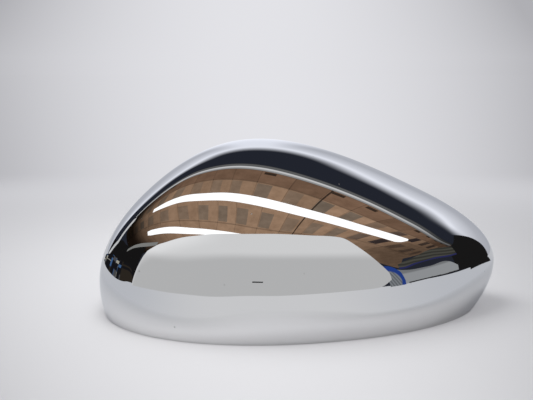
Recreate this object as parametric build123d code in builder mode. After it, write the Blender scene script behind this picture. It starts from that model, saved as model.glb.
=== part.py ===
import os
from math import atan2, cos, hypot, pi, sin

from build123d import *

os.makedirs("parts", exist_ok=True)

# Ridge line of the skin, seen from the side: the round end, a place on the crown and the nose
round_end_x = -102.5
round_end_z = 16.0
crown_x = -39.0
crown_z = 85.4
nose_x = 102.5
nose_z = 26.5

# Places on the flanks that the ridge line passes between its ends and its crown
round_flank_x = -71.5
round_flank_z = 67.0
long_flank_x = 60.0
long_flank_z = 62.2
brow_x = 86.2
brow_z = 47.0

# Rim at both ends of the ridge line, and how far the skirt would tuck in by the fan axis below it
round_rim_x = -99.5
nose_rim_x = 91.5
round_tuck = 15.0
nose_tuck = 30.0

# Width across the skin: where it is widest, what it loses and how far the ridge bows back by each end
half_width = 59.5
widest_x = -26.5
end_distance = 100.0
end_narrowing = 18.5
ridge_bow = 11.0

# Arches over the skin: one number for the crown, one for how straight the skirt is
crown_fullness = 2.5
skirt_straightness = 3.0
arch_count = 17
arch_points = 17
foot_angle = 84 * pi / 180

# Axis across the cover, below the rim, that the arches fan out from
fan_x = -2.5
fan_drop = 30.0
ridge_foot_z = -0.7 * fan_drop

# Foot of the skirt: how high its inward roll starts, how much higher by the nose, and its slope at the rim
roll_height = 8.0
roll_growth = 5.0
roll_slope = 0.3

# Moulded wall
wall = 2.5

# Catch lugs on the inside of the skirt, three along each long side and one at each end
lug_places = (-62.0, -10.0, 42.0)
lug_width = 14.0
lug_height = 5.0
lug_depth = 2.2
lug_z = 9.0

# Locating pegs inside the crown, each a boss with a pin, set along the ridge line
peg_places = (0.3, 0.68)
boss_radius = 5.0
boss_drop = 14.0
pin_radius = 3.0
pin_length = 10.0


def from_widest(x):
    return (x - widest_x) / end_distance


def ridge_y(x):
    return ridge_bow * from_widest(x) ** 2


def foot_roll(x, z):
    high = roll_height + roll_growth * from_widest(x)
    return roll_slope * (max(high - max(z, 0), 0) ** 2 / (2 * high) - min(z, 0))


with BuildLine(Plane.XZ) as ridge:
    ridge_line = Spline(
        (round_rim_x + round_tuck, ridge_foot_z),
        (round_rim_x, 0),
        (round_end_x, round_end_z),
        (round_flank_x, round_flank_z),
        (crown_x, crown_z),
        (long_flank_x, long_flank_z),
        (brow_x, brow_z),
        (nose_x, nose_z),
        (nose_rim_x, 0),
        (nose_rim_x - nose_tuck, ridge_foot_z),
    )


def skin_form(inset):
    # Solid form of the skin, or of a surface inside it, lofted from the round end to the nose
    with BuildPart() as form:
        for i in range(arch_count):
            place = i / (arch_count - 1)
            slope = ridge_line % place
            crown = ridge_line @ place - inset * Vector(-slope.Z, 0, slope.X)
            reach = hypot(crown.X - fan_x, crown.Z + fan_drop)
            lean = atan2(crown.X - fan_x, crown.Z + fan_drop)
            arch = []
            for k in range(arch_points):
                turn = foot_angle * sin(pi * k / (arch_points - 1) - pi / 2)
                rise = reach * cos(turn) ** (2 / skirt_straightness)
                spread = abs(sin(turn)) ** (2 / crown_fullness) * (1 if turn > 0 else -1)
                x = fan_x + rise * sin(lean)
                z = rise * cos(lean) - fan_drop
                side = half_width - inset - end_narrowing * from_widest(x) ** 2 - foot_roll(x, z)
                arch.append((side * spread + ridge_y(x), rise))
            fan_axis = (fan_x, 0, -fan_drop)
            fan_plane = Plane(origin=fan_axis, x_dir=(0, 1, 0), z_dir=(cos(lean), 0, -sin(lean)))
            with BuildSketch(fan_plane):
                with BuildLine():
                    bow = Spline(*arch)
                    Line(bow @ 0, bow @ 1)
                make_face()
        loft()
    return form.part


# Everything inside is rooted at the middle of the wall
root_form = skin_form(wall / 2)

with BuildPart() as lugs:
    with Locations(*[(x, 0, lug_z) for x in lug_places]):
        Box(lug_width, 4 * half_width, lug_height)
    with Locations((round_end_x, ridge_y(round_end_x), lug_z), (nose_x, ridge_y(nose_x), lug_z)):
        Box(half_width, lug_width, lug_height)
    add(root_form, mode=Mode.INTERSECT)
    add(skin_form(wall + lug_depth), mode=Mode.SUBTRACT)

with BuildPart() as pegs:
    for place in peg_places:
        root = ridge_line @ place
        foot_z = root.Z - wall - boss_drop
        with Locations((root.X, ridge_y(root.X), foot_z)):
            Cylinder(boss_radius, crown_z, align=(Align.CENTER, Align.CENTER, Align.MIN))
    add(root_form, mode=Mode.INTERSECT)
    for place in peg_places:
        root = ridge_line @ place
        foot_z = root.Z - wall - boss_drop
        with Locations((root.X, ridge_y(root.X), foot_z)):
            Cylinder(pin_radius, pin_length, align=(Align.CENTER, Align.CENTER, Align.MAX))

# The whole cover: the skin with its rim open, and what is moulded on its inside
with BuildPart() as mirror_cover:
    add(skin_form(0))
    split(bisect_by=Plane.XY, keep=Keep.TOP)
    add(skin_form(wall), mode=Mode.SUBTRACT)
    add(lugs.part)
    add(pegs.part)

mirror_cover.part.label = "mirror_cover"
export_step(mirror_cover.part, "parts/mirror_cover.step")
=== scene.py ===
import math

import bpy
import numpy as np
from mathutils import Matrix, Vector


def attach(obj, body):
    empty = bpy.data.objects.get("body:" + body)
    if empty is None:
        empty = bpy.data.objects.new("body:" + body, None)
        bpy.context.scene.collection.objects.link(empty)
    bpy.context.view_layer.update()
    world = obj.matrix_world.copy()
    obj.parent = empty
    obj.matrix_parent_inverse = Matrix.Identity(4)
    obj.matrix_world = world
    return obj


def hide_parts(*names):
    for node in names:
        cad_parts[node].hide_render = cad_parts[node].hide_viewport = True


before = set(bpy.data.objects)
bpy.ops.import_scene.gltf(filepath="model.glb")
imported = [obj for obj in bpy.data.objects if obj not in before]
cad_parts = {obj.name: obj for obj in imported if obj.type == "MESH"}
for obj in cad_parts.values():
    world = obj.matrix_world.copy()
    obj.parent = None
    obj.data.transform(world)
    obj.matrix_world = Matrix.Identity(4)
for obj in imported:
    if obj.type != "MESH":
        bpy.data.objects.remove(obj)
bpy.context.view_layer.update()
print("stage: frame loaded")

mm = 0.001
scene = bpy.context.scene


def deselectAll():
    if bpy.context.object and bpy.context.object.mode != "OBJECT":
        bpy.ops.object.mode_set(mode="OBJECT")
    bpy.ops.object.select_all(action="DESELECT")


def useOnly(piece):
    deselectAll()
    piece.select_set(True)
    bpy.context.view_layer.objects.active = piece


def applyAll(piece):
    useOnly(piece)
    for name in [m.name for m in piece.modifiers]:
        bpy.ops.object.modifier_apply(modifier=name)


def settle(piece):
    # the piece keeps its place in its mesh and sits at the origin
    useOnly(piece)
    bpy.ops.object.transform_apply(location=True, rotation=True, scale=True)


def roundEdges(piece, width, segments, angle):
    edges = piece.modifiers.new("edges", "BEVEL")
    edges.width = width * mm
    edges.segments = segments
    edges.limit_method = "ANGLE"
    edges.angle_limit = angle


# the skin, in millimetres: a ridge line seen from the side and arches that fan over it
skin = {
    "ridge": [
        (-84.5, -21.0), (-99.5, 0.0), (-102.5, 16.0), (-71.5, 67.0), (-39.0, 85.4),
        (60.0, 62.2), (86.2, 47.0), (102.5, 26.5), (91.5, 0.0), (61.5, -21.0),
    ],
    "halfWidth": 59.5,
    "widestX": -26.5,
    "endDistance": 100.0,
    "endNarrowing": 18.5,
    "ridgeBow": 11.0,
    "crownFullness": 2.5,
    "skirtStraightness": 3.0,
    "fanX": -2.5,
    "fanDrop": 30.0,
    "rollHeight": 8.0,
    "rollGrowth": 5.0,
    "rollSlope": 0.3,
    "wall": 2.5,
    "rimRound": 0.45,
    "rimSegments": 3,
    "rimAngle": math.radians(60),
    "smoothAngle": math.radians(50),
    "gridAlong": 210,
    "gridAcross": 150,
    "crownPlace": 0.45,
    "placeSpan": 0.5,
    "footTurn": math.radians(90),
    "turnEase": 1.25,
    "halvings": 50,
    "searchPlaces": (0.02, 0.98, 2000),
}

# smooth line through the ridge points, spaced by the distances between them
ridgePoints = np.array(skin["ridge"])
ridgeSteps = np.concatenate([[0.0], np.cumsum(np.hypot(*np.diff(ridgePoints, axis=0).T))])
ridgeSteps = ridgeSteps / ridgeSteps[-1]


def ridgeBends():
    count = len(ridgeSteps)
    gaps = np.diff(ridgeSteps)
    rises = np.diff(ridgePoints, axis=0) / gaps[:, None]
    table = np.zeros((count, count))
    wanted = np.zeros((count, 2))
    for i in range(1, count - 1):
        table[i, i - 1:i + 2] = gaps[i - 1], 2 * (gaps[i - 1] + gaps[i]), gaps[i]
        wanted[i] = 6 * (rises[i] - rises[i - 1])
    # both ends carry on the bend of their neighbours
    table[0, :3] = gaps[1], -(gaps[0] + gaps[1]), gaps[0]
    table[-1, -3:] = gaps[-1], -(gaps[-2] + gaps[-1]), gaps[-2]
    return np.linalg.solve(table, wanted)


bends = ridgeBends()


def ridgeAt(place):
    place = np.asarray(place, float)
    i = np.clip(np.searchsorted(ridgeSteps, place) - 1, 0, len(ridgeSteps) - 2)
    gap = (ridgeSteps[i + 1] - ridgeSteps[i])[..., None]
    ahead = (ridgeSteps[i + 1] - place)[..., None] / gap
    past = 1 - ahead
    flat = ahead * ridgePoints[i] + past * ridgePoints[i + 1]
    bent = (ahead ** 3 - ahead) * bends[i] + (past ** 3 - past) * bends[i + 1]
    return flat + bent * gap ** 2 / 6


def fromWidest(x):
    return (x - skin["widestX"]) / skin["endDistance"]


def ridgeY(x):
    return skin["ridgeBow"] * fromWidest(x) ** 2


def rollAt(x, z):
    # how far the skirt's foot rolls in, from higher up towards the nose
    high = skin["rollHeight"] + skin["rollGrowth"] * fromWidest(x)
    above = np.maximum(high - np.maximum(z, 0), 0)
    return skin["rollSlope"] * (above ** 2 / (2 * high) - np.minimum(z, 0))


def halfAt(x, z):
    return skin["halfWidth"] - skin["endNarrowing"] * fromWidest(x) ** 2 - rollAt(x, z)


def fanned(x, z):
    # how far a point is from the fan axis, and how far it leans from upright
    across = x - skin["fanX"]
    above = z + skin["fanDrop"]
    return np.hypot(across, above), np.arctan2(across, above)


def skinAt(place, turn):
    # place runs along the ridge line, turn over the arch; the answer is in millimetres
    crown = ridgeAt(place)
    reach, lean = fanned(crown[..., 0], crown[..., 1])
    rise = reach * np.abs(np.cos(turn)) ** (2 / skin["skirtStraightness"])
    spread = np.sign(turn) * np.abs(np.sin(turn)) ** (2 / skin["crownFullness"])
    x = skin["fanX"] + rise * np.sin(lean)
    z = rise * np.cos(lean) - skin["fanDrop"]
    return np.stack([x, halfAt(x, z) * spread + ridgeY(x), z], -1)


def skinFrom(span, way):
    # span is how far to go from the crown, way the direction on the disc
    place = skin["crownPlace"] + span * np.cos(way) * skin["placeSpan"]
    side = span * np.sin(way)
    return skinAt(place, np.sign(side) * np.abs(side) ** skin["turnEase"] * skin["footTurn"])


def skinOnDisc(a, b):
    # a square grid drawn into a round one, whose edge is the rim
    discX = a * np.sqrt(1 - b * b / 2)
    discY = b * np.sqrt(1 - a * a / 2)
    out = np.hypot(discX, discY)
    way = np.arctan2(discY, discX)
    low = np.zeros_like(way)
    high = 1 / np.maximum(np.abs(np.cos(way)), np.abs(np.sin(way)))
    # the rim is where the skin comes down to the floor, found by halving
    for _ in range(skin["halvings"]):
        mid = (low + high) / 2
        above = skinFrom(mid, way)[..., 2] > 0
        low = np.where(above, mid, low)
        high = np.where(above, high, mid)
    return skinFrom(out * low, way)


def addSkin():
    deselectAll()
    bpy.ops.mesh.primitive_grid_add(
        x_subdivisions=skin["gridAlong"], y_subdivisions=skin["gridAcross"], size=2
    )
    piece = bpy.context.object
    piece.name = "mirrorCover"
    flat = np.array([v.co for v in piece.data.vertices])
    shaped = skinOnDisc(flat[:, 0], flat[:, 1]) * mm
    piece.data.vertices.foreach_set("co", shaped.ravel())
    piece.data.update()
    bpy.ops.object.mode_set(mode="EDIT")
    bpy.ops.mesh.select_all(action="SELECT")
    bpy.ops.mesh.normals_make_consistent(inside=False)
    bpy.ops.object.mode_set(mode="OBJECT")
    top = max(piece.data.polygons, key=lambda face: face.center.z)
    if top.normal.z < 0:
        piece.data.flip_normals()
    return piece


def thickenSkin(piece):
    wall = piece.modifiers.new("wall", "SOLIDIFY")
    wall.thickness = skin["wall"] * mm
    wall.offset = -1
    wall.use_even_offset = True
    wall.material_offset = 1
    roundEdges(piece, skin["rimRound"], skin["rimSegments"], skin["rimAngle"])
    applyAll(piece)
    # the inner wall keeps to the floor that the rim stands on
    for v in piece.data.vertices:
        v.co.z = max(v.co.z, 0.0)


def wallAt(x, z, side):
    # the outer skin's y at this x and height, on the near (-1) or far (+1) long side
    crowns = ridgeAt(np.linspace(*skin["searchPlaces"]))
    reaches, leans = fanned(crowns[:, 0], crowns[:, 1])
    far, lean = fanned(x, z)
    rise = min(far / np.interp(lean, leans, reaches), 1.0)
    turn = math.acos(rise ** (skin["skirtStraightness"] / 2))
    spread = math.sin(turn) ** (2 / skin["crownFullness"])
    return side * halfAt(x, z) * spread + ridgeY(x)


# catch lugs inside the skirt, in millimetres, and the ends of the ridge line that carry one each
lug = {
    "places": [-62.0, -10.0, 42.0],
    "width": 14.0,
    "height": 5.0,
    "depth": 2.2,
    "root": 1.2,
    "z": 9.0,
    "slope": 1.4,
    "round": 0.35,
    "roundSegments": 2,
    "roundAngle": math.radians(30),
    "endStretches": [(0.05, 0.2, 1), (0.8, 0.95, -1)],
    "endSteps": 400,
}


def addLug(spot, facing):
    # a catch lug with a sloped lead-in: spot is on the outer skin, facing points into the cover
    deep = lug["depth"] + lug["root"]
    inward = Vector((facing[0], facing[1], 0))
    middle = Vector(spot) + inward * (skin["wall"] + lug["depth"] - deep / 2)
    deselectAll()
    bpy.ops.mesh.primitive_cube_add(size=1, location=middle * mm)
    piece = bpy.context.object
    piece.name = "catchLug"
    piece.scale = Vector((lug["width"], deep, lug["height"])) * mm
    piece.rotation_euler.z = math.atan2(facing[1], facing[0]) - math.pi / 2
    bpy.ops.object.transform_apply(location=False, rotation=False, scale=True)
    # the inner lower edge draws back, so that the lug rides over its catch
    for v in piece.data.vertices:
        if v.co.y > 0 and v.co.z < 0:
            v.co.y -= lug["slope"] * mm
    roundEdges(piece, lug["round"], lug["roundSegments"], lug["roundAngle"])
    applyAll(piece)
    settle(piece)
    return piece


def addLugs():
    lugs = []
    for x in lug["places"]:
        for side in (-1, 1):
            y = wallAt(x, lug["z"], side)
            slope = (wallAt(x + 1, lug["z"], side) - wallAt(x - 1, lug["z"], side)) / 2
            facing = Vector((slope, -1)).normalized() * side
            lugs.append(addLug((x, y, lug["z"]), facing))
    for start, end, side in lug["endStretches"]:
        line = ridgeAt(np.linspace(start, end, lug["endSteps"]))
        x = line[np.argmin(np.abs(line[:, 1] - lug["z"])), 0]
        lugs.append(addLug((x, ridgeY(x), lug["z"]), (side, 0)))
    return lugs


# locating pegs inside the crown, in millimetres; blank is the cylinder that a boss starts as
peg = {
    "places": [0.3, 0.68],
    "bossRadius": 5.0,
    "bossDrop": 14.0,
    "pinRadius": 3.0,
    "pinLength": 10.0,
    "blank": 10.0,
    "footFacing": -0.9,
    "root": 1.0,
    "round": 0.5,
    "roundSegments": 2,
    "roundAngle": math.radians(60),
    "sides": 48,
}


def addPeg(place, cover):
    # a boss that grows out of the crown, and a pin on its foot
    crown = ridgeAt(np.array(place))
    x, y = crown[0], ridgeY(crown[0])
    foot = crown[1] - skin["wall"] - peg["bossDrop"]
    middle = (foot + peg["blank"] / 2) * mm
    deselectAll()
    bpy.ops.mesh.primitive_cylinder_add(
        vertices=peg["sides"], radius=peg["bossRadius"] * mm, depth=peg["blank"] * mm,
        location=(x * mm, y * mm, middle),
    )
    piece = bpy.context.object
    piece.name = "locatingPeg"
    settle(piece)
    # the pin is drawn out of the boss's foot
    bpy.ops.object.mode_set(mode="EDIT")
    bpy.ops.mesh.select_all(action="DESELECT")
    bpy.ops.object.mode_set(mode="OBJECT")
    for face in piece.data.polygons:
        face.select = face.normal.z < peg["footFacing"]
    bpy.ops.object.mode_set(mode="EDIT")
    bpy.ops.mesh.select_mode(type="FACE")
    bpy.ops.mesh.inset(thickness=(peg["bossRadius"] - peg["pinRadius"]) * mm)
    bpy.ops.mesh.extrude_region_move(
        TRANSFORM_OT_translate={"value": (0, 0, -peg["pinLength"] * mm)}
    )
    bpy.ops.object.mode_set(mode="OBJECT")
    # the boss's top follows the wall that it is rooted in
    for v in piece.data.vertices:
        if v.co.z > middle:
            _, spot, _, _ = cover.ray_cast((v.co.x, v.co.y, foot * mm), (0, 0, 1))
            v.co.z = spot.z + peg["root"] * mm
    roundEdges(piece, peg["round"], peg["roundSegments"], peg["roundAngle"])
    applyAll(piece)
    return piece


def addNode(tree, kind, **values):
    node = tree.nodes.new(kind)
    for name, value in values.items():
        setattr(node, name, value)
    return node


def put(node, **values):
    for name, value in values.items():
        node.inputs[name.replace("_", " ")].default_value = value
    return node


def join(tree, source, target):
    tree.links.new(source, target)


def ramp(tree, source, limits, first=(0, 0, 0, 1), last=(1, 1, 1, 1)):
    node = addNode(tree, "ShaderNodeValToRGB")
    for element, position, colour in zip(node.color_ramp.elements, limits, (first, last)):
        element.position = position
        element.color = colour
    join(tree, source, node.inputs["Fac"])
    return node.outputs["Color"]


def maths(tree, kind, first, second=0.0):
    node = addNode(tree, "ShaderNodeMath", operation=kind)
    for socket, value in zip(node.inputs, (first, second)):
        if isinstance(value, (int, float)):
            socket.default_value = value
        else:
            join(tree, value, socket)
    return node.outputs[0]


def times(tree, first, *others):
    for other in others:
        first = maths(tree, "MULTIPLY", first, other)
    return first


def stretched(tree, value, low, high):
    # a value from 0 to 1, brought to run from low to high
    return maths(tree, "ADD", times(tree, value, high - low), low)


def within(tree, value, low, high):
    return times(tree, maths(tree, "GREATER_THAN", value, low), maths(tree, "LESS_THAN", value, high))


def smoothStep(tree, value, limits, results=(0.0, 1.0)):
    node = addNode(tree, "ShaderNodeMapRange", interpolation_type="SMOOTHSTEP")
    join(tree, value, node.inputs["Value"])
    for name, number in zip(("From Min", "From Max", "To Min", "To Max"), (*limits, *results)):
        node.inputs[name].default_value = number
    return node.outputs["Result"]


def mixColour(tree, factor, first, second, blend="MIX"):
    node = addNode(tree, "ShaderNodeMix", data_type="RGBA", blend_type=blend)
    for socket, value in ((node.inputs[0], factor), (node.inputs[6], first), (node.inputs[7], second)):
        if isinstance(value, (int, float, tuple)):
            socket.default_value = value
        else:
            join(tree, value, socket)
    return node.outputs[2]


def noise(tree, where, scale, detail, roughness):
    node = put(addNode(tree, "ShaderNodeTexNoise"), Scale=scale, Detail=detail, Roughness=roughness)
    join(tree, where, node.inputs["Vector"])
    return node.outputs["Fac"]


def newGroup(name, inputs, outputs):
    group = bpy.data.node_groups.new(name, "ShaderNodeTree")
    for label, value in inputs:
        socket = group.interface.new_socket(label, in_out="INPUT", socket_type="NodeSocketFloat")
        socket.default_value = value
    for label, kind in outputs:
        group.interface.new_socket(label, in_out="OUTPUT", socket_type=kind)
    start = addNode(group, "NodeGroupInput")
    end = addNode(group, "NodeGroupOutput")
    return group, start.outputs, end.inputs


# each noise has a scale, a detail and a roughness
wearMarks = {
    "scratchTurn": (0.4, 0.2, 0.7),
    "scratchStretch": (30, 900, 500),
    "scratchNoise": (1.0, 2.0, 0.6),
    "scratchThin": (0.66, 0.74),
    "placesNoise": (28.0, 2.0, 0.5),
    "places": (0.52, 0.68),
    "dustScale": 170.0,
    "dustSize": (0.05, 0.11),
    "dustShare": (0.855, 0.865),
    "waveNoise": (16.0, 1.0, 0.4),
}


def platingWear():
    # fine scratches, dust specks and the slow wave of a moulded wall under its plating
    group, given, result = newGroup(
        "platingWear",
        [("Scratches", 0.5), ("Specks", 0.5), ("Wave", 0.5)],
        [("Scratch", "NodeSocketFloat"), ("Speck", "NodeSocketFloat"), ("Height", "NodeSocketFloat")],
    )
    where = addNode(group, "ShaderNodeTexCoord").outputs["Object"]

    # scratches: thin bands of a stretched noise, only where a broad noise lets them
    turned = put(
        addNode(group, "ShaderNodeMapping"),
        Rotation=wearMarks["scratchTurn"], Scale=wearMarks["scratchStretch"],
    )
    join(group, where, turned.inputs["Vector"])
    streak = noise(group, turned.outputs["Vector"], *wearMarks["scratchNoise"])
    broad = noise(group, where, *wearMarks["placesNoise"])
    thin = ramp(group, streak, wearMarks["scratchThin"])
    somewhere = ramp(group, broad, wearMarks["places"])
    join(group, times(group, thin, somewhere, given["Scratches"]), result["Scratch"])

    # dust: small round cells, most of them empty
    cells = put(addNode(group, "ShaderNodeTexVoronoi"), Scale=wearMarks["dustScale"], Randomness=1.0)
    join(group, where, cells.inputs["Vector"])
    dots = ramp(group, cells.outputs["Distance"], wearMarks["dustSize"], (1, 1, 1, 1), (0, 0, 0, 1))
    chosen = addNode(group, "ShaderNodeSeparateColor")
    join(group, cells.outputs["Color"], chosen.inputs["Color"])
    few = ramp(group, chosen.outputs["Red"], wearMarks["dustShare"])
    join(group, times(group, dots, few, given["Specks"]), result["Speck"])

    slow = noise(group, where, *wearMarks["waveNoise"])
    join(group, times(group, slow, given["Wave"]), result["Height"])
    return group


wearGroup = platingWear()


def newMetal(name):
    material = bpy.data.materials.new(name)
    material.use_nodes = True
    shader = material.node_tree.nodes["Principled BSDF"]
    shader.inputs["Metallic"].default_value = 1.0
    wear = addNode(material.node_tree, "ShaderNodeGroup", node_tree=wearGroup)
    return material, shader, wear


def addBump(tree, shader, height, depth):
    bump = addNode(tree, "ShaderNodeBump")
    bump.inputs["Distance"].default_value = depth
    join(tree, height, bump.inputs["Height"])
    join(tree, bump.outputs["Normal"], shader.inputs["Normal"])


chromeFinish = {
    "clean": (0.735, 0.74, 0.75, 1),
    "edgeTint": (0.84, 0.85, 0.87, 1),
    "dusty": (0.40, 0.40, 0.40, 1),
    "scratches": 0.45,
    "specks": 0.55,
    "roughClean": 0.012,
    "roughScratched": 0.16,
    "roughDusty": 0.5,
    "waveDepth": 0.00002,
}


def platedMaterial():
    # mirror-bright plating of the outer skin and the rim
    material, shader, wear = newMetal("mirrorPlating")
    tree = material.node_tree
    shader.inputs["Specular Tint"].default_value = chromeFinish["edgeTint"]
    put(wear, Scratches=chromeFinish["scratches"], Specks=chromeFinish["specks"], Wave=1.0)
    colour = mixColour(tree, wear.outputs["Speck"], chromeFinish["clean"], chromeFinish["dusty"])
    join(tree, colour, shader.inputs["Base Color"])
    worn = times(tree, wear.outputs["Scratch"], chromeFinish["roughScratched"])
    dusted = times(tree, wear.outputs["Speck"], chromeFinish["roughDusty"])
    rough = maths(tree, "ADD", maths(tree, "ADD", worn, dusted), chromeFinish["roughClean"])
    join(tree, rough, shader.inputs["Roughness"])
    addBump(tree, shader, wear.outputs["Height"], chromeFinish["waveDepth"])
    return material


insideFinish = {
    "bright": (0.62, 0.625, 0.64, 1),
    "dull": (0.40, 0.405, 0.42, 1),
    "cloudNoise": (22.0, 4.0, 0.55),
    "scratches": 0.8,
    "roughLow": 0.20,
    "roughHigh": 0.42,
    "roughScratched": 0.2,
    "grainNoise": (1400.0, 2.0, 0.5),
    "grainDepth": 0.00006,
}


def insideMaterial():
    # thinner, duller plating inside, where the mould was left with its fine grain
    material, shader, wear = newMetal("insidePlating")
    tree = material.node_tree
    put(wear, Scratches=insideFinish["scratches"])
    where = addNode(tree, "ShaderNodeTexCoord").outputs["Object"]
    cloud = noise(tree, where, *insideFinish["cloudNoise"])
    colour = mixColour(tree, cloud, insideFinish["bright"], insideFinish["dull"])
    join(tree, colour, shader.inputs["Base Color"])
    rough = stretched(tree, cloud, insideFinish["roughLow"], insideFinish["roughHigh"])
    worn = times(tree, wear.outputs["Scratch"], insideFinish["roughScratched"])
    join(tree, maths(tree, "ADD", rough, worn), shader.inputs["Roughness"])
    grain = noise(tree, where, *insideFinish["grainNoise"])
    addBump(tree, shader, grain, insideFinish["grainDepth"])
    return material


fittingsAngle = math.radians(40)


def buildCover():
    cover = addSkin()
    cover.data.materials.append(platedMaterial())
    cover.data.materials.append(insideMaterial())
    thickenSkin(cover)
    inside = addLugs() + [addPeg(place, cover) for place in peg["places"]]
    deselectAll()
    for piece in inside:
        piece.data.materials.append(cover.data.materials[1])
        piece.select_set(True)
    bpy.context.view_layer.objects.active = inside[0]
    bpy.ops.object.join()
    fittings = bpy.context.object
    fittings.name = "insideFittings"
    settle(fittings)
    useOnly(fittings)
    bpy.ops.object.shade_smooth_by_angle(angle=fittingsAngle)
    useOnly(cover)
    bpy.ops.object.shade_smooth_by_angle(angle=skin["smoothAngle"])
    even = cover.modifiers.new("even", "WEIGHTED_NORMAL")
    even.keep_sharp = True
    applyAll(cover)
    return cover, fittings


cover, fittings = buildCover()
for piece in (cover, fittings):
    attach(piece, "root")
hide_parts("mirror_cover")
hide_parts("mirror_cover")
print("stage: cover built,", len(cover.data.polygons), "faces")

# the photograph's view: a little above the cover, square to its long side
view = {
    "place": (-0.0170, -0.4443, 0.1287),
    "pitch": 9.13,
    "lens": 60.2,
    "sensor": 36,
    "clipStart": 0.01,
}
# the backdrop and the painted shade that darkens it to the sides, the floor's painted reflection as the
# plating sees it, and the dark above
roomLight = {
    "middle": (0.765, 0.765, 0.80, 1),
    "ends": (0.43, 0.43, 0.455, 1),
    "middleAt": -0.010,
    "spread": 0.335,
    "corners": 7.0,
    "lightAgain": (0.28, 0.62),
    "nearest": 0.1,
    "evenFront": (-0.4, 0.2),
    "paleBelow": (-0.35, -0.12),
    "front": (0.762, 0.762, 0.772, 1),
    "side": (0.62, 0.635, 0.675, 1),
    "dim": (0.021, 0.024, 0.035, 1),
    "soft": (0.50, 0.50, 0.51, 1),
}
# cards that only the plating sees, in metres and degrees: azimuth 0 is towards the camera and 90 towards
# the nose, and each edge is a list of azimuth, low and top, both seen from the sight height
cardStage = {
    "sightHeight": 0.03,
    "steps": 120,
    "rows": 40,
    "smoothing": 3,
}


def hideFromCamera(piece):
    # a card shows in the plating and nowhere else
    piece.visible_camera = False
    piece.visible_diffuse = False
    piece.visible_shadow = False
    piece.visible_transmission = False
    piece.visible_volume_scatter = False


def glowMaterial(name):
    # the card's own shade, kept in its mesh
    material = bpy.data.materials.new(name)
    material.use_nodes = True
    tree = material.node_tree
    tree.nodes.remove(tree.nodes["Principled BSDF"])
    shade = addNode(tree, "ShaderNodeAttribute", attribute_name="shade")
    glow = addNode(tree, "ShaderNodeEmission")
    join(tree, shade.outputs["Color"], glow.inputs["Color"])
    join(tree, glow.outputs["Emission"], tree.nodes["Material Output"].inputs["Surface"])
    return material


def sheetPiece(name, grid, shades, material, where=None):
    # a sheet through a grid of points, with a shade and a place on the sheet for each
    rows, columns = grid.shape[:2]
    faces = []
    for i in range(rows - 1):
        for k in range(columns - 1):
            first = i * columns + k
            faces.append((first, first + 1, first + columns + 1, first + columns))
    mesh = bpy.data.meshes.new(name)
    mesh.from_pydata(grid.reshape(-1, 3).tolist(), [], faces)
    colours = mesh.color_attributes.new("shade", "FLOAT_COLOR", "POINT")
    colours.data.foreach_set("color", np.concatenate([shades, np.ones((rows, columns, 1))], -1).ravel())
    if where is not None:
        spots = mesh.attributes.new("spot", "FLOAT2", "POINT")
        spots.data.foreach_set("vector", where.ravel())
    piece = bpy.data.objects.new(name, mesh)
    scene.collection.objects.link(piece)
    mesh.materials.append(material)
    hideFromCamera(piece)


def easeBetween(value, low, high):
    part = np.clip((value - low) / (high - low), 0, 1)
    return part * part * (3 - 2 * part)


def curveThrough(wanted, places, values):
    # a smooth curve through a few points
    slopes = np.gradient(values, places)
    i = np.clip(np.searchsorted(places, wanted) - 1, 0, len(places) - 2)
    gap = places[i + 1] - places[i]
    part = (wanted - places[i]) / gap
    rest = 1 - part
    ends = values[i] * rest ** 2 * (1 + 2 * part) + values[i + 1] * part ** 2 * (1 + 2 * rest)
    return ends + gap * part * rest * (slopes[i] * rest - slopes[i + 1] * part)


def evenOut(line, passes):
    # each pass takes a little more off the corners
    for _ in range(passes):
        line[1:-1] = (line[:-2] + 2 * line[1:-1] + line[2:]) / 4
    return line


def curvedCard(name, card, shadeOf):
    # a card bent round the cover, between its low and its top edge
    edge = np.array(card["edge"])
    azimuths = edge[:, 0]
    turns = np.linspace(azimuths[0], azimuths[-1], card.get("steps", cardStage["steps"]))
    lows = evenOut(curveThrough(turns, azimuths, edge[:, 1]), cardStage["smoothing"])
    tops = curveThrough(turns, azimuths, edge[:, 2]) + card.get("softTop", 0)
    tops = evenOut(tops, cardStage["smoothing"])
    share = np.linspace(0, 1, card.get("rows", cardStage["rows"]))
    rise = lows[:, None] + (tops - lows)[:, None] * share
    turn = turns[:, None] + 0 * rise
    # a fourth number in the edge is the card's own distance there
    far = np.interp(turns, azimuths, edge[:, 3])[:, None] if edge.shape[1] == 4 else card["radius"]
    way = np.radians(turn)
    if "lean" in card:
        # its foot leans over below a height
        height, slope = card["lean"]
        way = way + np.radians(slope) * np.maximum(height - rise, 0)
    up = far * np.tan(np.radians(rise)) + cardStage["sightHeight"]
    grid = np.stack([far * np.sin(way), -far * np.cos(way), up], -1)
    shade = shadeOf(turn, rise, tops[:, None] + 0 * rise)
    if shade.ndim == 2:
        shade = shade[..., None] * np.array(card["tint"])
    sheetPiece(name, grid, shade, glowMaterial(name + "Glow"))


def flatShade(card):
    return lambda turn, rise, top: card["shade"] + 0 * rise


def lowEdge(card, turn):
    return np.interp(turn, [point[0] for point in card["edge"]], [point[1] for point in card["edge"]])


frontCard = {
    "radius": 1.0,
    "edge": [
        (-83.4, 0.1, 1.5), (-82.2, 0.3, 10.8), (-78, 0.7, 16.3), (-68, 1.6, 20.7), (-45.9, 1.9, 24.3),
        (-17.1, -0.6, 26.1), (12.6, -1.1, 26.7), (30.7, 0.0, 25.5), (46, 1.6, 23.9), (48.6, 1.9, 23.2),
        (51.4, 2.3, 19.6), (55.2, 3.0, 14.7), (59, 5.3, 7.8),
    ],
    "lower": 0.58,
    "upper": 0.81,
    "turnsLight": (12.5, 17.0),
    "shoulder": 0.16,
    "shoulderTurns": (-62.0, -22.0),
    "shoulderDepth": (0.5, 8.0),
    "tint": (1.0, 1.0, 1.0),
}


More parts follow.
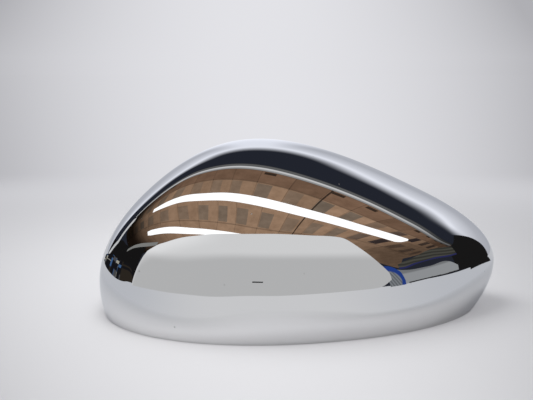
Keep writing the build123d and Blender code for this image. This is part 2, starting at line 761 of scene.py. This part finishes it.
def frontShade(turn, rise, top):
    # lighter in its upper part, and lightest by its left shoulder
    upper = easeBetween(rise, *frontCard["turnsLight"])
    shade = frontCard["lower"] + (frontCard["upper"] - frontCard["lower"]) * upper
    left = 1 - easeBetween(turn, *frontCard["shoulderTurns"])
    return shade + frontCard["shoulder"] * left * (1 - easeBetween(top - rise, *frontCard["shoulderDepth"]))


# the top of the back card's edge is where it has half gone into the dark,
# and its shades follow how far below that they are
backCard = {
    "radius": 1.0,
    "edge": [
        (96.4, 19.2, 25.0), (104.9, 16.4, 30.0), (111.2, 12.0, 35.0), (117.4, 0.6, 38.4), (119, -8, 39.4),
        (134.5, -8, 44.8), (152, -8, 44.6), (186, -8, 44.6), (203, -8, 40.6), (218.3, -8, 33.4),
        (227, -8, 18.0),
    ],
    "softTop": 6.0,
    "softness": 1.4,
    "softSide": (96.4, 106.0),
    "below": [-6, 8, 11, 15, 21, 27, 50],
    "shades": [1.08, 1.08, 0.92, 0.82, 0.71, 0.61, 0.55],
    "middle": 1.10,
    "middleAt": 183,
    "middleSpan": (3, 13),
    "tint": (0.95, 0.97, 1.05),
}


def backShade(turn, rise, top):
    # light below its soft top edge, darker further down except in the middle
    below = top - backCard["softTop"] - rise
    shade = np.interp(below, backCard["below"], backCard["shades"])
    middle = 1 - easeBetween(np.abs(turn - backCard["middleAt"]), *backCard["middleSpan"])
    shade = shade + (np.maximum(backCard["middle"], shade) - shade) * middle
    soft = np.clip((below + backCard["softTop"]) / (2 * backCard["softTop"]), 0, 1) ** backCard["softness"]
    share = (soft * easeBetween(turn, *backCard["softSide"]))[..., None]
    dim = np.array(roomLight["dim"][:3])
    return np.array(backCard["tint"]) * shade[..., None] * share + dim * (1 - share)


floorBand = {
    "radius": 1.4,
    "edge": [
        (-108, -3, -2.0), (-94.6, -3, 0.0), (-86, -3, 1.4), (-75.1, -3, 1.8), (-58.3, -3, 3.0),
        (-38.5, -3, 2.5), (-6.6, -3, -0.5), (24.5, -3, 0.1), (44.2, -3, 2.4), (71, -3, 3.1), (98, -3, -0.4),
    ],
    "turns": (24.0, 88.0),
}


def bandShade(turn, rise, top):
    # the far part of the floor as the plating sees it, a painted reflection in the same colours as the
    # floor itself
    out = easeBetween(np.abs(turn), *floorBand["turns"])[..., None]
    front, side = np.array(roomLight["front"][:3]), np.array(roomLight["side"][:3])
    return front + (side - front) * out


sideCard = {
    "radius": 1.2,
    "edge": [(60.3, 2.9, 9.3), (65.2, 2.9, 8.3), (76, 2.7, 7.5), (86, 1.7, 6.6), (88.8, 1.3, 4.1)],
    "lower": 0.36,
    "upper": 0.22,
    "turnsDark": (6.5, 7.3),
    "line": 0.03,
    "lineFrom": 66.0,
    "lineHeight": 0.5,
    "tint": (0.97, 1.0, 1.03),
}


def sideShade(turn, rise, top):
    # paler below, with a dark line where it meets the floor
    upper = easeBetween(rise, *sideCard["turnsDark"])
    shade = sideCard["lower"] + (sideCard["upper"] - sideCard["lower"]) * upper
    onLine = (turn > sideCard["lineFrom"]) & (rise - lowEdge(sideCard, turn) < sideCard["lineHeight"])
    return np.where(onLine, sideCard["line"], shade)


# ripple: its least and its swing of light, and how fast it runs over azimuth and height
ringCard = {
    "radius": 1.1,
    "edge": [(57.8, 2.7, 10.3), (60.4, 2.7, 10.1), (62.3, 2.7, 8.9), (63.8, 2.7, 6.9), (64.5, 2.7, 4.3)],
    "middle": (58.6, 4.0),
    "reach": 6.2,
    "rim": (0.66, 0.76),
    "ripple": (0.75, 0.25, 5, 3),
    "pale": (0.26, 0.28, 0.30),
    "blue": (0.02, 0.055, 0.27),
}


def ringShade(turn, rise, top):
    # a pale rippled round with a blue rim
    away = np.hypot(turn - ringCard["middle"][0], rise - ringCard["middle"][1]) / ringCard["reach"]
    rim = easeBetween(away, *ringCard["rim"])[..., None]
    level, swing, over, up = ringCard["ripple"]
    ripple = (level + swing * np.sin(turn * over + rise * up))[..., None]
    return np.array(ringCard["pale"]) * ripple * (1 - rim) + np.array(ringCard["blue"]) * rim


# where the pale floor ends beside the cover, dark things stand on it
clutterCard = {
    "edge": [
        (-131, -5.2, -2.5, 0.38), (-126, -4.2, 0.0, 0.42), (-118, -3.2, 3.5, 0.55), (-107, -2.3, 5.5, 0.75),
        (-100, -1.7, 6.5, 0.95), (-93.7, -0.7, 7.5, 1.2), (-87.6, 0.7, 7.0, 1.25), (-83.2, 1.1, 4.0, 1.25),
    ],
    "steps": 160,
    "rows": 60,
    "across": 15,
    "down": 6,
    "seed": 4,
    "colours": [
        (0.010, 0.010, 0.012), (0.030, 0.024, 0.018), (0.080, 0.080, 0.085), (0.060, 0.140, 0.300),
        (0.45, 0.43, 0.36),
    ],
    "often": [0.52, 0.20, 0.14, 0.08, 0.06],
}


def clutterShade(turn, rise, top):
    # dark things of uneven sizes with a few coloured ones among them
    pick = np.random.default_rng(clutterCard["seed"])
    across, down = clutterCard["across"], clutterCard["down"]
    cells = pick.choice(len(clutterCard["colours"]), (across, down), p=clutterCard["often"])
    i = np.searchsorted(np.sort(pick.random(across - 1)), np.linspace(0, 1, rise.shape[0]))
    high = np.linspace(0, 1, rise.shape[1])
    k = np.array([np.searchsorted(np.sort(pick.random(down - 1)), high) for _ in range(across)])
    return np.array(clutterCard["colours"])[cells[i[:, None], k[i]]]


# slats: their least and their swing of light, and how fast they run over height and azimuth
shelfCard = {
    "radius": 1.25,
    "edge": [
        (63.5, 8.9, 10.8), (66, 8.9, 11.7), (70.4, 9.7, 12.7), (80, 9.9, 14.8), (86, 9.2, 14.2),
        (90.4, 9.0, 13.4),
    ],
    "slats": (0.72, 0.28, 4.2, 0.35),
    "grey": (0.085, 0.083, 0.070),
    "line": (0.028, 0.030, 0.110),
    "lineHeight": 0.7,
}


def shelfShade(turn, rise, top):
    # grey slats with a thin line along their lower edge
    up = rise - lowEdge(shelfCard, turn)
    level, swing, high, over = shelfCard["slats"]
    slats = (level + swing * np.sin(up * high + turn * over))[..., None]
    line = (up < shelfCard["lineHeight"])[..., None]
    return np.where(line, np.array(shelfCard["line"]), np.array(shelfCard["grey"]) * slats)


# cards of one shade: the dark to the left, the dark behind the nose and close to it, a ledge,
# a dash on the front card and a light streak
darkCard = {
    "radius": 1.3,
    "edge": [
        (-140, -5, 4), (-125, -4, 8), (-115, -2.8, 12), (-105, -1.8, 13), (-95, -0.4, 14.5), (-88, 1.0, 16),
        (-83, 1.3, 17),
    ],
    "shade": 0.010,
    "tint": (1.0, 0.95, 0.95),
}
darkEnd = {
    "radius": 1.3,
    "edge": [
        (87.5, 1.6, 12.5), (93, 0.4, 15), (98, -0.9, 18.5), (104, -2.8, 18), (110, -5, 14.5), (116, -8, 5),
        (119, -8, -2),
    ],
    "shade": 0.012,
    "tint": (1.0, 0.96, 0.95),
}
noseCard = {
    "edge": [
        (95.8, -1.5, 1.3, 1.2), (100.8, -3.2, 1.7, 0.75), (105.9, -5.8, 1.4, 0.48),
        (110.9, -7.8, -1.5, 0.34), (116.3, -9.8, -7.0, 0.26),
    ],
    "shade": 0.012,
    "tint": (1.0, 0.96, 0.95),
}
ledgeCard = {
    "radius": 1.05,
    "edge": [
        (-100, 11.0, 12.2), (-95.6, 13.4, 14.9), (-90.4, 15.2, 16.9), (-81.6, 17.2, 18.9),
        (-75, 18.6, 20.0),
    ],
    "shade": 0.26,
    "tint": (1.0, 1.0, 0.96),
}
dashCard = {
    "radius": 0.95,
    "edge": [(-6.4, 3.5, 4.0), (0.1, 3.45, 3.9)],
    "shade": 0.03,
    "tint": (1.0, 1.0, 1.1),
}
streakCard = {
    "radius": 1.1,
    "edge": [(-123.2, -2.0, 18.0), (-121.4, -2.0, 19.6), (-119.8, -2.0, 18.6)],
    "lean": (9.0, -1.0),
    "shade": 0.7,
    "tint": (1.0, 1.0, 1.0),
}

# the panel overhead, lofted through lines: its back edge, under the two strip lamps, and its front edge.
# rows are counted from line to line, and boxes along the rows
overhead = {
    "height": 1.2,
    "lines": [
        [(-2.85, 2.05), (-1.17, 0.84), (-0.53, 0.30), (0.22, -0.03), (1.42, -0.09), (3.5, -0.10),
         (4.65, 0.13)],
        [(-3.91, 2.18), (-2.05, 0.68), (-1.51, 0.11), (-1.0, -0.45), (-0.44, -0.79), (0.52, -1.10),
         (1.64, -1.10), (2.88, -0.89), (4.56, -0.79)],
        [(-4.75, 1.16), (-2.87, 0.04), (-2.42, -0.49), (-1.92, -1.35), (-1.29, -2.01), (0.08, -2.65),
         (1.43, -2.51), (2.14, -2.14), (4.54, -1.91)],
        [(-5.4, -0.18), (-3.82, -0.84), (-2.92, -2.15), (-1.35, -3.21), (0.09, -3.35), (1.53, -3.03),
         (6.2, -3.0)],
    ],
    "lineSteps": 120,
    "lineSmoothing": 6,
    "rowSteps": 12,
    "boxWidth": 0.50,
    "rowShifts": (0.19, 0.27),
    "rowSeed": 31.0,
    "patchRows": [(0.51, 0.90), (1.20, 1.60)],
    "patchSpan": (0.04, 0.52),
    "patchStrength": (0.40, 0.95),
    "boxTone": (0.85, 1.10),
    "rowLines": (0.48, 1.64),
    "rowLineHalf": 0.02,
    "boxGap": 0.03,
    "gapStrength": 0.35,
    "gapMost": 0.92,
    "seam": 0.85,
    "seamHalf": 0.014,
    "leaning": 0.27,
    "leanReach": 2.2,
    "narrowing": 0.4,
    "narrowFrom": -0.4,
    "brown": (0.235, 0.140, 0.090, 1),
    "tan": (0.40, 0.255, 0.165, 1),
    "gap": (0.035, 0.024, 0.018, 1),
    "patch": (0.185, 0.150, 0.118, 1),
    "darkPatch": (0.02, 0.02, 0.03, 1),
    "darkFrom": (1.8, 2.5),
    "alongReach": 4.0,
    "cloudNoise": (4.0, 6.0, 0.65),
    "cloud": (0.25, 0.8),
    "cloudDark": (0.72, 0.70, 0.68, 1),
    "cloudLight": (1.22, 1.22, 1.22, 1),
    "markRow": (0.13, 0.21),
    "markSpan": (0.1, 0.45),
    "markLuck": 0.45,
    "lightFrom": (0.09, 0.34),
    "lightTo": (0.70, 0.93),
    "lightLeft": 0.35,
    "lightLeast": 0.03,
}


def smoothLine(points, count):
    points = np.array(points)
    steps = np.concatenate([[0], np.cumsum(np.hypot(*np.diff(points, axis=0).T))])
    wanted = np.linspace(0, steps[-1], count)
    line = np.stack([curveThrough(wanted, steps, points[:, k]) for k in (0, 1)], -1)
    return evenOut(line, overhead["lineSmoothing"])


def overheadMaterial():
    # rows of brown boxes between the lamps, each with a grey patch on it
    material = glowMaterial("overheadGlow")
    tree = material.node_tree
    glow = next(n for n in tree.nodes if n.type == "EMISSION")
    shade = next(n for n in tree.nodes if n.type == "ATTRIBUTE").outputs["Color"]
    spot = addNode(tree, "ShaderNodeAttribute", attribute_name="spot").outputs["Vector"]
    apart = addNode(tree, "ShaderNodeSeparateXYZ")
    join(tree, spot, apart.inputs[0])
    along, row = apart.outputs["X"], apart.outputs["Y"]

    # share is how far along its box a place is, luck a chance number for each box
    lowerRow = maths(tree, "GREATER_THAN", row, 1.0)
    shift = maths(tree, "ADD", times(tree, lowerRow, overhead["rowShifts"][1]), overhead["rowShifts"][0])
    place = maths(tree, "DIVIDE", maths(tree, "ADD", along, shift), overhead["boxWidth"])
    share = maths(tree, "FRACT", place)
    box = maths(tree, "ADD", maths(tree, "FLOOR", place), times(tree, lowerRow, overhead["rowSeed"]))
    chance = addNode(tree, "ShaderNodeTexWhiteNoise", noise_dimensions="1D")
    join(tree, box, chance.inputs["W"])
    luck = chance.outputs["Value"]

    # boxes, each in its own tone, with patches that turn dark to the right
    line, half = overhead["rowLines"][0], overhead["rowLineHalf"]
    colour = ramp(tree, row, (line - half, line + half), overhead["brown"], overhead["tan"])
    colour = mixColour(tree, 1.0, colour, stretched(tree, luck, *overhead["boxTone"]), "MULTIPLY")
    patchRow = maths(tree, "ADD", *[within(tree, row, *span) for span in overhead["patchRows"]])
    patchShare = times(
        tree, within(tree, share, *overhead["patchSpan"]), patchRow,
        stretched(tree, luck, *overhead["patchStrength"]),
    )
    reach = overhead["alongReach"]
    darkFrom = [x / reach for x in overhead["darkFrom"]]
    patch = ramp(tree, times(tree, along, 1 / reach), darkFrom, overhead["patch"], overhead["darkPatch"])
    colour = mixColour(tree, patchShare, colour, patch)

    # thin gaps between the boxes and their rows, one open seam across, and dark marks along the back
    gaps = times(tree, maths(tree, "LESS_THAN", share, overhead["boxGap"]), overhead["gapStrength"])
    for line in overhead["rowLines"]:
        onLine = times(tree, within(tree, row, line - half, line + half), overhead["gapStrength"])
        gaps = maths(tree, "ADD", gaps, onLine)
    seamAt, seamHalf = overhead["seam"], overhead["seamHalf"]
    seam = within(tree, along, seamAt - seamHalf, seamAt + seamHalf)
    marks = times(
        tree, within(tree, row, *overhead["markRow"]), within(tree, share, *overhead["markSpan"]),
        maths(tree, "GREATER_THAN", luck, overhead["markLuck"]),
    )
    gaps = maths(tree, "ADD", maths(tree, "ADD", gaps, seam), marks)
    colour = mixColour(tree, maths(tree, "MINIMUM", gaps, overhead["gapMost"]), colour, overhead["gap"])

    cloud = noise(tree, spot, *overhead["cloudNoise"])
    uneven = ramp(tree, cloud, overhead["cloud"], overhead["cloudDark"], overhead["cloudLight"])
    for layer in (uneven, shade):
        colour = mixColour(tree, 1.0, colour, layer, "MULTIPLY")
    join(tree, colour, glow.inputs["Color"])
    return material


def addOverhead():
    lines = [smoothLine(points, overhead["lineSteps"]) for points in overhead["lines"]]
    count = overhead["lineSteps"]
    grid, where = [], []
    for i in range(len(lines) - 1):
        for share in np.linspace(0, 1, overhead["rowSteps"])[(1 if i else 0):]:
            row = lines[i] * (1 - share) + lines[i + 1] * share
            grid.append(np.concatenate([row, np.full((count, 1), overhead["height"])], -1))
            # the boxes lean and narrow to the left
            left = np.clip(overhead["seam"] - row[:, 0], 0, overhead["leanReach"])
            along = row[:, 0] + overhead["leaning"] * left * (i + share - 1)
            along = along - overhead["narrowing"] * np.maximum(overhead["narrowFrom"] - along, 0)
            where.append(np.stack([along, np.full(count, i + share)], -1))
    grid, where = np.array(grid), np.array(where)
    # it falls into the dark at both ends
    part = np.linspace(0, 1, count) + 0 * grid[..., 0]
    light = easeBetween(part, *overhead["lightFrom"])
    light = light * (1 - (1 - overhead["lightLeft"]) * easeBetween(part, *overhead["lightTo"]))
    light = overhead["lightLeast"] + (1 - overhead["lightLeast"]) * light
    sheetPiece("overheadPanel", grid, light[..., None] * np.ones(3), overheadMaterial(), where)


# each strip lamp follows one of those lines from one x to another: its width at both ends, its shades
# from its back to its front edge, how much of its start is drawn out and what is left of it at its end
strips = {
    "first": {
        "line": 1, "span": (-2.07, 2.91), "width": (0.17, 0.36), "tail": 0.09, "left": 1.0,
        "shades": [1.5, 1.5],
    },
    "second": {
        "line": 2, "span": (-2.89, 0.28), "width": (0.30, 0.30), "tail": 0.05, "left": 1.0,
        "shades": [1.5, 1.5],
    },
    "back": {
        "line": 0, "span": (-2.75, 4.5), "width": (0.15, 0.24), "tail": 0.2, "left": 0.25,
        "shades": [0.04, 0.12, 0.15, 0.16, 0.04, 0.60, 0.74, 0.66, 0.30, 0.42, 0.05],
    },
}
stripForm = {
    "height": 1.19,
    "lineSteps": 400,
    "startShare": 0.78,
    "endAt": 1.004,
    "endRound": 0.02,
    "fading": (0.55, 0.95),
}


def stripLamp(name, strip):
    # a flat band along part of an overhead line
    line = smoothLine(overhead["lines"][strip["line"]], stripForm["lineSteps"])
    along = np.gradient(line, axis=0)
    along /= np.linalg.norm(along, axis=1)[:, None]
    start, end = strip["span"]
    keep = (line[:, 0] >= start) & (line[:, 0] <= end)
    part = np.linspace(0, 1, keep.sum())
    wide = strip["width"][0] + (strip["width"][1] - strip["width"][0]) * part
    drawn = stripForm["startShare"] + (1 - stripForm["startShare"]) * easeBetween(part, 0, strip["tail"])
    rounded = np.sqrt(np.clip((stripForm["endAt"] - part) / stripForm["endRound"], 0, 1))
    out = np.stack([-along[keep, 1], along[keep, 0]], -1) * (wide * drawn * rounded)[:, None] / 2
    high = np.full((keep.sum(), 1), stripForm["height"])
    places = np.linspace(1, -1, len(strip["shades"]))
    grid = np.stack([np.concatenate([line[keep] + out * place, high], -1) for place in places])
    fading = 1 + (strip["left"] - 1) * easeBetween(part, *stripForm["fading"])
    shades = np.array(strip["shades"])[:, None, None] * fading[:, None] * np.ones(3)
    sheetPiece(name, grid, shades, glowMaterial(name + "Glow"))


def backdropShade():
    # the backdrop is given painted shade, lightest in the middle and darker in its corners:
    # Across is how far to the side over how far away, Lift is the height above the horizon
    group, given, result = newGroup(
        "backdropShade",
        [("Across", 0.0), ("Lift", 0.0), ("Strength", 1.0)],
        [("Color", "NodeSocketColor")],
    )
    off = maths(group, "ADD", given["Across"], -roomLight["middleAt"])
    away = maths(group, "ABSOLUTE", maths(group, "DIVIDE", off, roomLight["spread"]))
    lift = times(group, maths(group, "MAXIMUM", given["Lift"], 0.0), roomLight["corners"])
    # well to the side of the cover the room is as light as in its middle
    aside = maths(group, "ABSOLUTE", given["Across"])
    beside = smoothStep(group, aside, roomLight["lightAgain"], (1.0, 0.0))
    share = times(
        group, maths(group, "POWER", away, 2.0), maths(group, "ADD", lift, 1.0), beside, given["Strength"]
    )
    join(group, ramp(group, share, (0.0, 1.0), roomLight["middle"], roomLight["ends"]), result["Color"])
    return group


# the sheet under the cover: how far off it is seen as the backdrop's shaded glow by the camera and as a
# glow by the plating, how much glow the camera sees even by the cover, a painted light that thins the
# cover's shadow, and where it folds up into the backdrop
floorStage = {
    "size": 12.0,
    "sink": 0.00005,
    "colour": (1.10, 1.10, 1.07, 1),
    "roughness": 0.7,
    "specular": 0.1,
    "fade": (0.18, 0.55),
    "least": 0.28,
    "platingFade": (0.07, 0.25),
    "evenFront": (-0.36, -0.14),
    "fold": (0.36, 0.56),
    "foldShare": 0.75,
}


def floorMaterial(shadeGroup):
    material = bpy.data.materials.new("paleFloor")
    material.use_nodes = True
    tree = material.node_tree
    shader = tree.nodes["Principled BSDF"]
    put(shader, Roughness=floorStage["roughness"], Specular_IOR_Level=floorStage["specular"])
    where = addNode(tree, "ShaderNodeTexCoord").outputs["Object"]
    length = addNode(tree, "ShaderNodeVectorMath", operation="LENGTH")
    join(tree, where, length.inputs[0])
    far = length.outputs["Value"]
    apart = addNode(tree, "ShaderNodeSeparateXYZ")
    join(tree, where, apart.inputs[0])
    x, y = apart.outputs["X"], apart.outputs["Y"]

    # its colour carries the backdrop's painted shade, more even than on the backdrop that it curves up into
    depth = maths(tree, "MAXIMUM", maths(tree, "ADD", y, -view["place"][1]), roomLight["nearest"])
    fold = smoothStep(tree, y, floorStage["fold"], (floorStage["foldShare"], 1.0))
    shade = addNode(tree, "ShaderNodeGroup", node_tree=shadeGroup)
    join(tree, times(tree, maths(tree, "DIVIDE", x, depth), fold), shade.inputs["Across"])
    join(tree, smoothStep(tree, y, floorStage["evenFront"]), shade.inputs["Strength"])
    paintedBackdrop = shade.outputs["Color"]
    join(tree, mixColour(tree, 1.0, floorStage["colour"], paintedBackdrop, "MULTIPLY"), shader.inputs["Base Color"])

    # the plating sees a painted reflection of the floor: one colour in front and another to the sides
    outward = maths(tree, "DIVIDE", maths(tree, "ABSOLUTE", x), far)
    turns = [math.radians(turn) for turn in floorBand["turns"]]
    beside = smoothStep(tree, maths(tree, "ARCSINE", outward), turns)
    reflected = mixColour(tree, beside, roomLight["front"], roomLight["side"])

    path = addNode(tree, "ShaderNodeLightPath")
    byCamera, byPlating = path.outputs["Is Camera Ray"], path.outputs["Is Glossy Ray"]
    glow = addNode(tree, "ShaderNodeEmission")
    join(tree, mixColour(tree, byCamera, reflected, paintedBackdrop), glow.inputs["Color"])
    # even by the cover the camera sees the least share of glow: painted light that thins the cover's shadow
    seen = times(tree, smoothStep(tree, far, floorStage["fade"], (floorStage["least"], 1.0)), byCamera)
    mirrored = times(tree, smoothStep(tree, far, floorStage["platingFade"]), byPlating)
    blend = addNode(tree, "ShaderNodeMixShader")
    join(tree, maths(tree, "MAXIMUM", seen, mirrored), blend.inputs["Fac"])
    join(tree, shader.outputs["BSDF"], blend.inputs[1])
    join(tree, glow.outputs["Emission"], blend.inputs[2])
    join(tree, blend.outputs["Shader"], tree.nodes["Material Output"].inputs["Surface"])
    return material


def addFloor(shadeGroup):
    deselectAll()
    bpy.ops.mesh.primitive_plane_add(size=floorStage["size"], location=(0, 0, -floorStage["sink"]))
    piece = bpy.context.object
    piece.name = "floor"
    piece.data.materials.append(floorMaterial(shadeGroup))


def addWorld(shadeGroup):
    world = bpy.data.worlds.new("softRoom")
    scene.world = world
    world.use_nodes = True
    tree = world.node_tree
    path = addNode(tree, "ShaderNodeLightPath")
    apart = addNode(tree, "ShaderNodeSeparateXYZ")
    join(tree, addNode(tree, "ShaderNodeTexCoord").outputs["Generated"], apart.inputs[0])
    x, y, z = (apart.outputs[axis] for axis in "XYZ")
    depth = maths(tree, "MAXIMUM", maths(tree, "ABSOLUTE", y), roomLight["nearest"])
    # the camera sees the backdrop with its painted shade
    shade = addNode(tree, "ShaderNodeGroup", node_tree=shadeGroup)
    join(tree, maths(tree, "DIVIDE", x, depth), shade.inputs["Across"])
    join(tree, z, shade.inputs["Lift"])
    join(tree, smoothStep(tree, y, roomLight["evenFront"]), shade.inputs["Strength"])
    # plating is given a dark room above and a pale one below
    dark = times(tree, path.outputs["Is Glossy Ray"], smoothStep(tree, z, roomLight["paleBelow"]))
    colour = mixColour(tree, dark, roomLight["soft"], roomLight["dim"])
    seen = maths(tree, "MAXIMUM", path.outputs["Is Camera Ray"], path.outputs["Is Transmission Ray"])
    colour = mixColour(tree, seen, colour, shade.outputs["Color"])
    join(tree, colour, tree.nodes["Background"].inputs["Color"])


softLamp = {"place": (-0.13, 0.03, 0.40), "size": 0.34, "energy": 1.15}


def addLamp():
    deselectAll()
    bpy.ops.object.light_add(type="AREA", location=softLamp["place"])
    lamp = bpy.context.object
    lamp.name = "softLamp"
    lamp.data.shape = "DISK"
    lamp.data.size = softLamp["size"]
    lamp.data.energy = softLamp["energy"]
    lamp.visible_glossy = False


shadeGroup = backdropShade()
addFloor(shadeGroup)
addWorld(shadeGroup)
addLamp()
curvedCard("frontCard", frontCard, frontShade)
curvedCard("backCard", backCard, backShade)
curvedCard("floorBand", floorBand, bandShade)
curvedCard("sideCard", sideCard, sideShade)
curvedCard("ringCard", ringCard, ringShade)
curvedCard("clutterCard", clutterCard, clutterShade)
curvedCard("shelfCard", shelfCard, shelfShade)
flatCards = {
    "darkCard": darkCard, "darkEnd": darkEnd, "noseCard": noseCard,
    "ledgeCard": ledgeCard, "dashCard": dashCard, "streakCard": streakCard,
}
for name, card in flatCards.items():
    curvedCard(name, card, flatShade(card))
addOverhead()
for name, strip in strips.items():
    stripLamp(name + "Strip", strip)
print("stage: room built")

cameraData = bpy.data.cameras.new("view")
camera = bpy.data.objects.new("view", cameraData)
scene.collection.objects.link(camera)
camera.location = view["place"]
camera.rotation_euler = (math.radians(90 - view["pitch"]), 0, 0)
cameraData.lens = view["lens"]
cameraData.sensor_width = view["sensor"]
cameraData.dof.use_dof = False
cameraData.clip_start = view["clipStart"]
scene.camera = camera
scene.view_settings.view_transform = "Standard"

print("stage: camera set")
